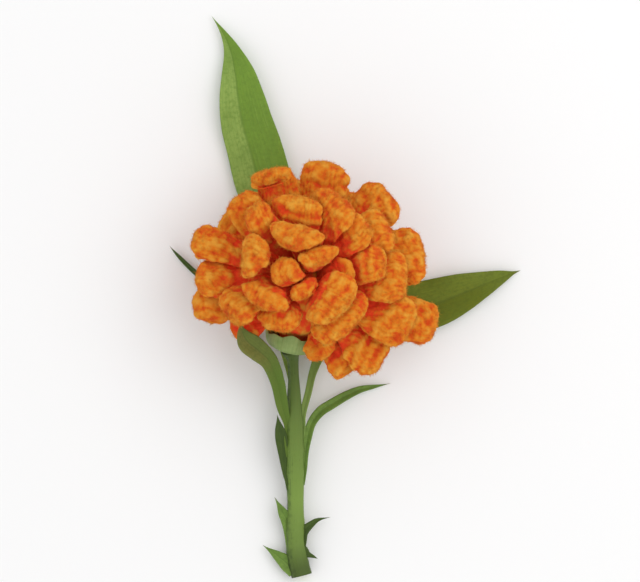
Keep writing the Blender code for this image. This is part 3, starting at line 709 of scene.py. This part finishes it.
# Where the outermost point of each lies from the heart (x, y, z), its width, how far its end rolls over (0 straight, 1
# rolled; minus rolls in towards the middle of the bloom) and how far it is twisted, in degrees
front_petals = {
    "heart_petal": (
        (-3.1, 19.2, 30.5, 25.0, -0.8, 0),
        (4.6, 8.6, 32.0, 20.0, -0.6, -55),
        (-6.8, 1.2, 31.0, 15.0, -0.8, 10),
        (-23.0, 9.2, 28.0, 20.0, -1.0, 0),
        (-2.0, -3.2, 28.0, 14.0, 0.4, 0),
    ),
    "inner_petal": (
        (-17.4, 25.4, 25.0, 14.0, 0.7, 10),
        (-4.6, 28.6, 26.0, 25.0, 0.6, 0),
        (11.6, 29.0, 25.5, 22.0, 0.6, 0),
        (19.4, 20.8, 27.0, 18.0, 0.8, 10),
        (26.0, 7.4, 27.0, 16.0, 0.8, 0),
        (14.2, 1.8, 26.0, 16.0, 0.7, 0),
        (11.4, -6.6, 29.0, 26.0, 0.7, 0),
        (-15.9, -4.4, 28.5, 22.0, 0.7, 0),
    ),
    "middle_petal": (
        (-24.8, 31.0, 12.0, 17.0, 0.5, 0),
        (-14.0, 42.2, 12.0, 18.5, -0.6, 0),
        (29.6, 20.0, 19.0, 20.0, 0.7, 0),
        (36.4, 1.6, 18.0, 21.0, 0.7, 0),
        (39.8, -17.4, 12.0, 21.0, 0.6, 0),
        (15.0, -15.4, 22.5, 26.0, 0.7, 0),
        (-10.8, -14.0, 20.5, 18.0, 0.7, 0),
        (-27.6, -9.6, 17.5, 21.0, 0.8, 25),
    ),
    "outer_petal": (
        (8.6, 44.8, 8.0, 20.0, 0.2, 0),
        (32.2, 33.6, 8.0, 20.5, 0.2, 0),
        (45.4, 10.6, 6.0, 24.0, 0.3, 0),
        (50.6, -18.0, 2.0, 18.0, 0.3, 0),
        (29.6, -30.8, 5.0, 20.0, 0.2, 0),
        (-42.6, -10.0, 3.0, 14.0, 0.2, 0),
        (-41.4, 0.8, 8.0, 16.0, 0.2, 0),
        (-42.8, 16.0, 7.0, 15.0, 0.2, 0),
    ),
    "collar_petal": (
        (-27.0, -21.0, 0.5, 16.0, 0.2, 0),
        (19.4, -33.4, 3.4, 19.0, 0.2, 0),
        (7.4, -28.4, 2.4, 14.0, 0.2, 0),
    ),
}
petals = {f"{kind}_{k + 1}": plan for kind, plans in front_petals.items() for k, plan in enumerate(plans)}
# The petals behind: how many, the middle and the half range of their angles, how far out and how far below the heart
# they end, their width and their roll
back_rings = {
    "back_petal": (9, 80.0, 108.0, 39.0, -11.0, 23.0, 0.3),
    "under_petal": (6, 80.0, 124.0, 25.0, -27.2, 23.0, 0.0),
}
for ring_name, (count, middle, half_range, reach, drop, width, roll) in back_rings.items():
    for k in range(count):
        angle = math.radians(middle - half_range + 2 * half_range * k / (count - 1))
        spot = (reach * math.cos(angle), reach * math.sin(angle), drop)
        petals[f"{ring_name}_{k + 1}"] = (*spot, width, roll, 0.0)

# How finely a petal is planned along and across, and how full it is across
petal_rows = np.array((0.0, 0.12, 0.25, 0.38, 0.5, 0.62, 0.73, 0.83, 0.92, 0.98))
petal_columns = 5
fullness = np.array((0.2, 0.9, 1.0, 0.9, 0.2))

# The growing: rounds, the share of its width a petal starts with and of the rounds in which it widens, what a round
# keeps of what has moved, the last rounds that keep all of it, and what a push moves of what it lacks
rounds = 120
first_share = 0.2
widening = 0.6
kept = 0.985
last_rounds = 30
push_share = 0.5
near_heart = 62.0
# Pairs of points that may press on each other are looked for every few rounds, with this much to spare
look_again = 5
look_spare = 6.0


def half_width(width, places):
    """Half a petal's width along it: narrow at the root, full from the middle on and round at the end."""
    opening = np.clip(places / 0.5, 0, 1)
    full = root_width + (width - root_width) * opening * opening * (3 - 2 * opening)
    end = np.clip((places - 0.66) / 0.34, 0, 1)
    return full / 2 * (1 - end**2.2) ** 0.5


def half_thickness(places):
    """Half a petal's thickness along it."""
    opening = np.clip(places / 0.7, 0, 1)
    return (root_thickness + (petal_thickness - root_thickness) * opening) / 2 * (1 - 0.25 * places**6)


def core_middle(points):
    """The nearest point to each of these on the roll's middle line."""
    place = np.clip((points - heart) @ -cup_axis, 0, core_stalk)
    return heart - place[..., None] * cup_axis


def planned_petal(spot, width, roll, twist):
    """The middle line of a petal, from its root on the roll to its rolled end, and its half width to the side."""
    foot = -np.clip(0.6 * spot @ -cup_axis, 0, core_stalk) * cup_axis
    reach = np.linalg.norm(spot - foot)
    out = (spot - foot) / reach
    axis = unit(bloom_axis)
    over = unit(out * out.dot(axis) - axis) * (1 if roll >= 0 else -1)
    turn = math.radians(twist)
    over = over * math.cos(turn) + np.cross(out, over) * math.sin(turn)
    curl = abs(roll)
    knots = (
        out * (core_radius + root_seat),
        out * reach * 0.68 - over * 3 * curl,
        out * reach * (0.96 + 0.20 * curl) - over * 1.0 * curl,
        out * reach * (1 - 0.12 * curl) + over * (1 + 8 * curl),
    )
    t = petal_rows[:, None]
    weights = ((1 - t) ** 3, 3 * (1 - t) ** 2 * t, 3 * (1 - t) * t**2, t**3)
    spine = sum(weight * knot for weight, knot in zip(weights, knots))
    return heart + foot + spine, half_width(width, petal_rows)[:, None] * np.cross(out, over)


def still_things():
    """Points through the stem, the leaves and the cup's rim, with their radii, which the petals keep clear of."""
    path = evenly(stem_line, 60)
    places, radii = [path[:, :3]], [path[:, 3]]
    for plan in leaves.values():
        path = evenly(plan["points"], 70)
        side, out = across_from(unit(np.gradient(path[:, :3], axis=0)))
        for across in np.linspace(-1, 1, 8):
            half = path[:, 3:] / 2
            rise = plan["fold"] * abs(across - plan["midrib"]) + plan["roll"] * (across - plan["midrib"])
            places.append(path[:, :3] + across * half * side + rise * half * out)
            radii.append(np.full(len(path), leaf_thickness * 0.8))
    side = unit(np.cross(cup_axis, up))
    spokes = wheel(circle(20), side, np.cross(side, cup_axis))
    for place, radius in ((2.4, 9.0), (5.0, 10.4), (cup_depth + 0.8, cup_radius)):
        places.append(cup_base + place * cup_axis + radius * spokes)
        radii.append(np.full(20, cup_wall))
    places, radii = np.vstack(places), np.concatenate(radii)
    near = np.linalg.norm(places - heart, axis=1) < near_heart
    return places[near], radii[near]


def pairs_near(a, b, reach_a, reach_b):
    """Pairs of points, one from each set, that lie nearer than their two radii and some to spare."""
    squared = (a**2).sum(1)[:, None] + (b**2).sum(1)[None, :] - 2 * a @ b.T
    return np.nonzero(squared < (reach_a[:, None] + reach_b[None, :] + look_spare) ** 2)


def pressing(points, others, pairs, reach, other_reach, share):
    """How far each point is pushed by the others that come too near it."""
    first, second = pairs
    apart = points[first] - others[second]
    distance = np.linalg.norm(apart, axis=1)
    short = np.maximum(0, reach[first] + other_reach[second] - distance) * share
    push = apart / np.maximum(distance, 1e-6)[:, None] * short[:, None]
    return np.stack([np.bincount(first, push[:, k], len(points)) for k in range(3)], axis=1)


def grown_petals(plans):
    """The petals' middle surfaces, grown to their full width while neighbours press apart."""
    shapes = [planned_petal(np.array(p[:3]), *p[3:]) for p in plans]
    spines = np.array([s[0] for s in shapes])[:, :, None, :]
    sides = np.array([s[1] for s in shapes])[:, :, None, :] * np.linspace(-1, 1, petal_columns)[:, None]
    still, still_radius = still_things()
    radius = half_thickness(petal_rows)[None, :, None] * fullness + np.zeros((len(plans), 1, 1))
    radius = radius + petal_gap / 2 + 0.1
    owner = np.repeat(np.arange(len(plans)), len(petal_rows) * petal_columns)
    moved = np.zeros_like(spines + sides)
    for turn in range(rounds):
        grown = min(1.0, first_share + turn / (widening * rounds))
        points = (spines + sides * grown + moved).reshape(-1, 3)
        reach = (radius * (1 - widening + widening * grown)).ravel()
        if turn % look_again == 0:
            among = pairs_near(points, points, reach, reach)
            own = owner[among[0]] == owner[among[1]]
            among = (among[0][~own], among[1][~own])
            with_still = pairs_near(points, still, reach, still_radius)
        push = pressing(points, points, among, reach, reach, push_share / 2)
        push += pressing(points, still, with_still, reach, still_radius, push_share)
        push[:, 2] += np.maximum(0, reach + 0.05 - points[:, 2])
        from_core = points - core_middle(points)
        depth = np.linalg.norm(from_core, axis=1)
        push += unit(from_core) * np.maximum(0, core_radius + reach - depth)[:, None]
        moved += push.reshape(moved.shape)
        evened = moved.copy()
        evened[:, 1:-1] = 0.5 * moved[:, 1:-1] + 0.25 * (moved[:, 2:] + moved[:, :-2])
        evened[:, :, 1:-1] = 0.5 * evened[:, :, 1:-1] + 0.25 * (evened[:, :, 2:] + evened[:, :, :-2])
        moved = evened * (kept if turn < rounds - last_rounds else 1.0)
        middle = spines[:, 0] + moved[:, 0].mean(axis=1, keepdims=True)
        foot = core_middle(middle)
        moved[:, 0] = foot + unit(middle - foot) * (core_radius + root_seat) - spines[:, 0]
    return spines + sides + moved


# The skin: how far apart its points lie, how rounded its section and its end are, and how unevenly it is knitted
skin_spacing = 0.5
section_power = 0.7
end_rounding = 3.4
plan_rows = 30
plan_sides = 32
unevenness = 0.16
near_petal = 45.0
# How much painted shade, a deeper red, the wool gets at the sewn foot deep in the bloom, on top of the painted shade
# where neighbours cover it from the light
foot_painted_shade = 0.3
# The area that each point of a neighbour's middle surface stands for, in square millimetres
patch_area = 3.0
# How far single strands stand up or sink in, which makes the wool look brushed
strand_relief = 0.09

# Loose fibres stand off the wool wherever it is open to the air, and blur its outline: how many to a square
# millimetre, the least and the most of their lengths and of how steeply they rise, their thickness at the root, how
# deep they are rooted, and how much lighter or darker than the wool they are
fibre_density = 3.0
fibre_lengths = (0.7, 1.8)
fibre_rises = (0.25, 1.2)
fibre_radius = 0.08
fibre_root = 0.15
fibre_tones = (-0.2, 1.8)
fibre_random = np.random.default_rng(11)


def section(count):
    """Places across and out of the middle surface round a petal's rounded section, evenly spread round it."""
    angles = np.linspace(0, 2 * math.pi, 721)
    across = np.sign(np.cos(angles)) * np.abs(np.cos(angles)) ** section_power
    out = np.sign(np.sin(angles)) * np.abs(np.sin(angles)) ** section_power
    round_it = np.concatenate(([0.0], np.cumsum(np.hypot(np.diff(across * 3), np.diff(out)))))
    spots = np.interp(np.arange(count) / count, round_it / round_it[-1], angles)
    across = np.sign(np.cos(spots)) * np.abs(np.cos(spots)) ** section_power
    return across, np.sign(np.sin(spots)) * np.abs(np.sin(spots)) ** section_power


def across_grid(grid, places):
    """A grid of rows read smoothly at places from one edge, -1, to the other, 1."""
    return np.moveaxis(through(np.moveaxis(grid, 1, 0), (places + 1) / 2 * (grid.shape[1] - 1)), 0, 1)


def petal_body(grid, rows, sides):
    """The skin round a petal's middle surface at rows counted in stations, and the place that each point stands on."""
    end = grid[-1].mean(axis=0)
    end = end + unit(end - grid[-2].mean(axis=0)) * 0.9
    closed = np.concatenate((grid, (end + 0.15 * (grid[-1] - grid[-1].mean(axis=0)))[None]))
    middle = through(closed, rows)
    wide = across_grid(middle, np.linspace(-1, 1, 9))
    facing = unit(np.cross(np.gradient(wide, axis=0), np.gradient(wide, axis=1)))
    last = np.searchsorted(rows, len(grid) - 1.6)
    facing[last:] = facing[last]
    across, out = section(sides)
    to_end = np.linalg.norm(wide[:, 4] - end, axis=1)
    rounded = np.sqrt(1 - (1 - np.minimum(1, (to_end + 0.05) / end_rounding)) ** 2)
    thick = half_thickness(np.interp(rows, np.arange(11), (*petal_rows, 1.0))) * rounded
    stand = across_grid(middle, across * 0.5)
    skin = across_grid(middle, across) + unit(across_grid(facing, across)) * (thick[:, None] * out)[:, :, None]
    return skin, stand, thick, end


def pressed_shares(grids):
    """How much of its full reach each petal's coarse skin keeps between its neighbours, and how far they hide it."""
    still, still_radius = still_things()
    rows = np.linspace(0, 10, plan_rows)
    made = [petal_body(grid, rows, plan_sides) for grid in grids]
    fine, fine_thick = [], []
    for grid in grids:
        spots = np.linspace(0, 9, 28)
        middle = across_grid(through(grid, spots), np.linspace(-1, 1, 9))
        fine.append(middle.reshape(-1, 3))
        full = np.interp(np.linspace(0, 4, 9), np.arange(5), fullness)
        fine_thick.append((half_thickness(np.interp(spots, np.arange(10), petal_rows))[:, None] * full).ravel())
    shares, hidden = [], []
    for i, (skin, stand, thick, _) in enumerate(made):
        near = np.vstack([f for j, f in enumerate(fine) if j != i] + [still])
        reach = np.concatenate([t for j, t in enumerate(fine_thick) if j != i] + [still_radius])
        keep = np.linalg.norm(near - stand.reshape(-1, 3).mean(axis=0), axis=1) < near_petal
        near, reach = near[keep].astype(np.float32), reach[keep].astype(np.float32)
        start = stand.reshape(-1, 3).astype(np.float32)
        arm = skin.reshape(-1, 3).astype(np.float32) - start
        own = np.repeat(np.maximum(thick, 0.6), plan_sides).astype(np.float32)
        away = near[None] - start[:, None]
        distance = np.sqrt((away**2).sum(2))
        limit = np.maximum(distance * (own[:, None] / (own[:, None] + reach[None])) - petal_gap * 0.75, 0.25)
        length = np.einsum("ij,ikj->ik", arm, away) / np.maximum(distance, 1e-6)
        scale = np.where(length > limit, limit / np.maximum(length, 1e-6), 1.0).min(axis=1)
        shares.append(np.maximum(scale, 0.2).reshape(plan_rows, plan_sides))
        # How far neighbours hide each point from the light, which the wool's painted shade is read from
        facing = np.maximum(length / np.maximum(np.linalg.norm(arm, axis=1, keepdims=True), 0.2), 0)
        covered = (np.minimum(facing, 1) * patch_area / distance**2).sum(axis=1) / (2 * math.pi)
        hidden.append(((1 - np.exp(-covered)) ** 1.5).reshape(plan_rows, plan_sides))
    return shares, hidden


def on_skin(values, rows, sides):
    """Values of the coarse skin, read smoothly at the rows and sides of a dense one."""
    value = through(values, rows / 10 * (plan_rows - 1))
    looped = np.concatenate((value, value[:, :1]), axis=1)
    return np.moveaxis(through(np.moveaxis(looped, 1, 0), np.arange(sides) / sides * plan_sides), 0, 1)


def loose_fibres(skin, out, uv, swell, covered):
    """Fibres on one petal's skin: the four corners of each, its surface coordinate, its swell and how hidden it is."""
    along, around = np.diff(skin, axis=0), (np.roll(skin, -1, axis=1) - skin)[:-1]
    area = np.linalg.norm(np.cross(along, around), axis=2) * np.clip(1 - covered[:-1], 0, 1) ** 2
    count = int(area.sum() * fibre_density)
    row, column = np.unravel_index(fibre_random.choice(area.size, count, p=area.ravel() / area.sum()), area.shape)
    spread = fibre_random.random((2, count, 1))
    straight = out[row, column]
    root = skin[row, column] + spread[0] * along[row, column] + spread[1] * around[row, column]
    aside = fibre_random.normal(size=(count, 3))
    aside = unit(aside - (aside * straight).sum(axis=1, keepdims=True) * straight)
    heading = unit(aside + straight * fibre_random.uniform(*fibre_rises, (count, 1)))
    across = unit(np.cross(heading, straight))
    level = np.cross(heading, across)
    corners_round = []
    for third in range(3):
        angle = 2 * math.pi * third / 3
        spoke = math.cos(angle) * across + math.sin(angle) * level
        corners_round.append(root - fibre_root * straight + fibre_radius * spoke)
    tip = root + heading * fibre_random.uniform(*fibre_lengths, (count, 1))
    points = np.stack((*corners_round, tip), axis=1)
    points[:, :, 2] = np.maximum(points[:, :, 2], 0.02)
    tone = swell[row, column] + fibre_random.uniform(*fibre_tones, count)
    return points, uv[row, column, 0], tone, covered[row, column]


def knitted_petal(name, grid, shares, hidden, draw):
    """One petal: a dense skin, pressed by its neighbours, with the stitches raised on it. Gives back its fibres."""
    spine = np.linalg.norm(np.diff(grid.mean(axis=1), axis=0), axis=1)
    length = np.concatenate(([0.0], np.cumsum(spine), [spine.sum() + 0.9]))
    root_rows = np.linspace(0, 2.5, 8)
    start = np.interp(2.5, np.arange(11), length)
    count = round((length[-1] - start) / skin_spacing)
    spread = np.linspace(start, length[-1], count + 1)[1:]
    rounding = length[-1] - end_rounding
    ease = np.clip((spread - rounding) / end_rounding, 0, 1)
    spread = np.where(spread > rounding, rounding + end_rounding * np.sin(ease * math.pi / 2), spread)
    rows = np.concatenate((root_rows, np.interp(spread, length, np.arange(11))))
    widest = np.linalg.norm(grid[:, 0] - grid[:, -1], axis=1).max()
    sides = 4 * round((2 * widest + petal_thickness) / skin_spacing / 4)
    skin, stand, _, end = petal_body(grid, rows, sides)
    share = np.clip(on_skin(shares, rows, sides), 0.2, 1)
    skin = stand + (skin - stand) * share[:, :, None]
    # Stitches are counted from the middle of the face on the front and from the middle of the back on the back
    ring = np.concatenate((skin, skin[:, :1]), axis=1)
    steps = np.linalg.norm(np.diff(ring, axis=1), axis=2)
    round_it = np.concatenate((np.zeros((len(rows), 1)), np.cumsum(steps, axis=1)), axis=1)
    uneven = sum(np.sin(ring @ (direction / size) + phase) for direction, size, phase in draw)
    counted = []
    for middle in (sides // 4, 3 * sides // 4):
        climbed = lengths_from(skin[:, middle])[:, None] / stitch_height
        across = (round_it - round_it[:, middle : middle + 1]) / stitch_width
        counted.append(np.stack((across + unevenness * uneven, climbed + unevenness * uneven[:, ::-1]), axis=-1))
    front, back = counted
    raised = [stitches(c[:, :-1, 0], c[:, :-1, 1]) for c in counted]
    is_front = np.arange(sides) < sides // 2
    height = np.where(is_front, raised[0], raised[1])
    height[:, (0, sides // 2)] = np.minimum(raised[0], raised[1])[:, (0, sides // 2)]
    along = np.gradient(skin, axis=0)
    around = np.roll(skin, -1, axis=1) - np.roll(skin, 1, axis=1)
    out = unit(np.cross(around, along))
    out = out * np.sign((out * (skin - stand)).sum(axis=2).mean())
    fade = np.minimum(1, (len(rows) - 1 - np.arange(len(rows))) / 3)[:, None]
    swell = lumpiness(skin, random)
    lift = stitch_relief * (height - 0.75) + lump_height * (swell - 0.55)
    lift = lift + strand_relief * fibre_random.normal(size=lift.shape)
    from_foot = np.interp(rows, np.arange(11), (*petal_rows, 1.0))
    # Painted shade: how far neighbours hide each point from the light, with more at the petal's foot
    covered = on_skin(hidden, rows, sides) + foot_painted_shade * (1 - smooth_step(0.1, 0.75, from_foot))[:, None]
    skin = skin + (out * (fade * np.minimum(lift, 0.1))[:, :, None])
    skin[:, :, 2] = np.maximum(skin[:, :, 2], 0.02)
    uv = np.where(is_front[None, :, None, None], corners(front), corners(back))
    closing = end + unit(end - grid[-1].mean(axis=0)) * 0.05
    marks = {"swell": swell, "hidden": covered}
    piece = add_piece(name + "_knit", skin, uv, knitted_wool, name, (None, closing), marks)
    return loose_fibres(skin, out, uv, swell, covered)


grids = grown_petals(list(petals.values()))
fuzz = []
for name, grid, shares, hidden in zip(petals, grids, *pressed_shares(grids)):
    draw = [(unit(random.normal(size=3)), size, random.uniform(0, 6.3)) for size in (1.3, 2.2, 3.7)]
    fuzz.append(knitted_petal(name, grid, shares, hidden, draw))

points, places, tones, covered = (np.concatenate(part) for part in zip(*fuzz))
# A fibre has three points round its root and one at its tip, and four faces of three corners
fibre_faces = np.array(((0, 1, 3), (1, 2, 3), (2, 0, 3), (2, 1, 0)))
faces = (np.arange(len(points))[:, None, None] * 4 + fibre_faces).reshape(-1, 3)
# Each fibre carries the painted shade of the wool at its root
marks = {"swell": np.repeat(tones, 4), "hidden": np.repeat(covered, 4)}
places = np.repeat(places, 12, axis=0)
new_piece("loose_fibres", points.reshape(-1, 3), faces.tolist(), places, marks, knitted_wool)

# Table, light and camera
# The flower lies on a plain white table under soft light from the right, and the camera looks straight down on it
# from far off, so that it shows the same outline as the flower's own plan.
table_size = 3.0
table_white = (0.93, 0.93, 0.93)
mesh = bpy.data.meshes.new("table_top")
edge = table_size / 2
mesh.from_pydata([(-edge, -edge, 0), (edge, -edge, 0), (edge, edge, 0), (-edge, edge, 0)], [], [(0, 1, 2, 3)])
table_top = bpy.data.objects.new("table_top", mesh)
bpy.context.collection.objects.link(table_top)
finish = Finish("white_table", 0.8)
finish.shader.inputs["Base Color"].default_value = (*table_white, 1)
mesh.materials.append(finish.material)

world = bpy.data.worlds.new("room")
world.use_nodes = True
world.node_tree.nodes["Background"].inputs["Color"].default_value = (1, 1, 1, 1)
world.node_tree.nodes["Background"].inputs["Strength"].default_value = 0.82
bpy.context.scene.world = world

# Where each lamp hangs, in metres, its width and its power
lamps = {
    "key_lamp": ((0.50, 0.28, 1.05), 1.0, 4.2),
    "fill_lamp": ((-0.60, -0.35, 0.80), 0.9, 0.6),
}
for lamp_name, (spot, width, power) in lamps.items():
    light = bpy.data.lights.new(lamp_name, "AREA")
    light.size = width
    light.energy = power
    lamp = bpy.data.objects.new(lamp_name, light)
    lamp.location = spot
    aim = np.array((-0.015, 0.0, 0.03)) - np.array(spot)
    tilt = math.atan2(math.hypot(aim[0], aim[1]), -aim[2])
    lamp.rotation_euler = (tilt, 0, math.atan2(aim[1], aim[0]) - math.pi / 2)
    bpy.context.collection.objects.link(lamp)

# The picture is 640 pixels wide, a pixel is 0.391 mm at this height above the table, and its middle lies here
picture_pixels = 640
pixel_size = 0.391e-3
sharp_height = 0.026
picture_middle = (-0.00987, 0.00225)
camera_distance = 3.0
camera_data = bpy.data.cameras.new("camera")
camera_data.lens = camera_data.sensor_width * camera_distance / (picture_pixels * pixel_size)
camera_data.clip_end = 20
camera = bpy.data.objects.new("camera", camera_data)
camera.location = (*picture_middle, sharp_height + camera_distance)
bpy.context.collection.objects.link(camera)
bpy.context.scene.camera = camera
bpy.context.scene.view_settings.view_transform = "Standard"
